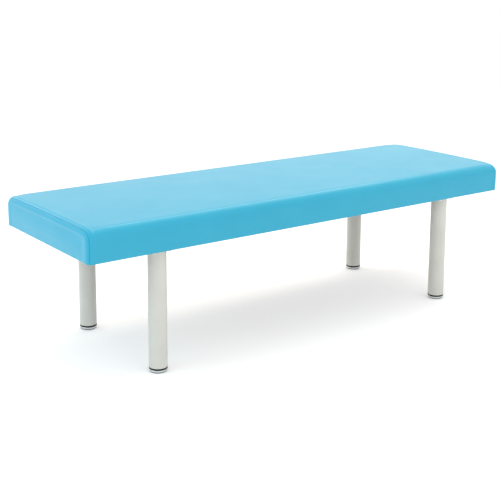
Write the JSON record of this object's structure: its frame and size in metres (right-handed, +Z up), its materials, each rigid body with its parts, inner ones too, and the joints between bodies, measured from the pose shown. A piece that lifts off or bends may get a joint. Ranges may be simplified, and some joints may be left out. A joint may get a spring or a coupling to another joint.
{
  "type": "massage table",
  "caption": "Fixed-height treatment table: padded vinyl-covered top on a timber frame, with round bolted steel legs and screw levelling feet.",
  "frame": {"origin": "on the floor under the middle of the table", "axes": "+X along the length towards the right end, +Y across the width towards the back, +Z up"},
  "size_m": [1.8, 0.5998, 0.5151],
  "materials": {
    "vinyl_leather": "satin",
    "foam": "matte",
    "wadding": "matte",
    "nonwoven": "matte",
    "plywood": "matte",
    "pine": "matte",
    "leg_paint": "satin",
    "zinc_steel": "satin",
    "yellow_zinc": "satin",
    "black_plastic": "satin",
    "chrome": "polished",
    "nylon": "satin"
  },
  "bodies": {
    "table": {"cover_main_panel": "vinyl_leather", "cover_end_left": "vinyl_leather", "cover_end_right": "vinyl_leather", "foam_pad": "foam", "side_wadding": "wadding", "deck_board": "plywood", "rail_front": "pine", "rail_back": "pine", "end_rail_left": "pine", "end_rail_right": "pine", "leg_beam_left": "pine", "leg_beam_right": "pine", "cross_rail_left": "pine", "cross_rail_centre": "pine", "cross_rail_right": "pine", "dust_cover": "nonwoven", "underside_staples": "zinc_steel", "deck_screws": "yellow_zinc", "frame_screws": "yellow_zinc", "leg_insert_nuts": "zinc_steel", "mount_plate_front_left": "leg_paint", "leg_tube_front_left": "leg_paint", "leg_bolts_front_left": "zinc_steel", "leg_washers_front_left": "zinc_steel", "end_plug_front_left": "black_plastic", "plug_nut_front_left": "zinc_steel", "mount_plate_front_right": "leg_paint", "leg_tube_front_right": "leg_paint", "leg_bolts_front_right": "zinc_steel", "leg_washers_front_right": "zinc_steel", "end_plug_front_right": "black_plastic", "plug_nut_front_right": "zinc_steel", "mount_plate_back_left": "leg_paint", "leg_tube_back_left": "leg_paint", "leg_bolts_back_left": "zinc_steel", "leg_washers_back_left": "zinc_steel", "end_plug_back_left": "black_plastic", "plug_nut_back_left": "zinc_steel", "mount_plate_back_right": "leg_paint", "leg_tube_back_right": "leg_paint", "leg_bolts_back_right": "zinc_steel", "leg_washers_back_right": "zinc_steel", "end_plug_back_right": "black_plastic", "plug_nut_back_right": "zinc_steel"},
    "glide_front_left": {"glide_front_left": "nylon"},
    "adjuster_front_left": {"adjuster_stud_front_left": "zinc_steel", "adjuster_foot_front_left": "chrome"},
    "glide_front_right": {"glide_front_right": "nylon"},
    "adjuster_front_right": {"adjuster_stud_front_right": "zinc_steel", "adjuster_foot_front_right": "chrome"},
    "glide_back_left": {"glide_back_left": "nylon"},
    "adjuster_back_left": {"adjuster_stud_back_left": "zinc_steel", "adjuster_foot_back_left": "chrome"},
    "glide_back_right": {"glide_back_right": "nylon"},
    "adjuster_back_right": {"adjuster_stud_back_right": "zinc_steel", "adjuster_foot_back_right": "chrome"}
  },
  "joints": [
    {"name": "glide_front_left_drop", "type": "slide", "parent": "table", "child": "glide_front_left", "axis": [0, 0, -1], "range_m": [0, 0.015]},
    {"name": "adjuster_front_left_turn", "type": "hinge", "parent": "glide_front_left", "child": "adjuster_front_left", "pos_m": [-0.633, -0.241, 0.01], "axis": [0, 0, -1], "range_deg": [0, 3085.71]},
    {"name": "glide_front_right_drop", "type": "slide", "parent": "table", "child": "glide_front_right", "axis": [0, 0, -1], "range_m": [0, 0.015]},
    {"name": "adjuster_front_right_turn", "type": "hinge", "parent": "glide_front_right", "child": "adjuster_front_right", "pos_m": [0.633, -0.241, 0.01], "axis": [0, 0, -1], "range_deg": [0, 3085.71]},
    {"name": "glide_back_left_drop", "type": "slide", "parent": "table", "child": "glide_back_left", "axis": [0, 0, -1], "range_m": [0, 0.015]},
    {"name": "adjuster_back_left_turn", "type": "hinge", "parent": "glide_back_left", "child": "adjuster_back_left", "pos_m": [-0.633, 0.241, 0.01], "axis": [0, 0, -1], "range_deg": [0, 3085.71]},
    {"name": "glide_back_right_drop", "type": "slide", "parent": "table", "child": "glide_back_right", "axis": [0, 0, -1], "range_m": [0, 0.015]},
    {"name": "adjuster_back_right_turn", "type": "hinge", "parent": "glide_back_right", "child": "adjuster_back_right", "pos_m": [0.633, 0.241, 0.01], "axis": [0, 0, -1], "range_deg": [0, 3085.71]}
  ],
  "couplings": [
    {"joint": "glide_front_left_drop", "follows": "adjuster_front_left_turn", "m_per_rad": 0.00027852},
    {"joint": "glide_front_right_drop", "follows": "adjuster_front_right_turn", "m_per_rad": 0.00027852},
    {"joint": "glide_back_left_drop", "follows": "adjuster_back_left_turn", "m_per_rad": 0.00027852},
    {"joint": "glide_back_right_drop", "follows": "adjuster_back_right_turn", "m_per_rad": 0.00027852}
  ]
}
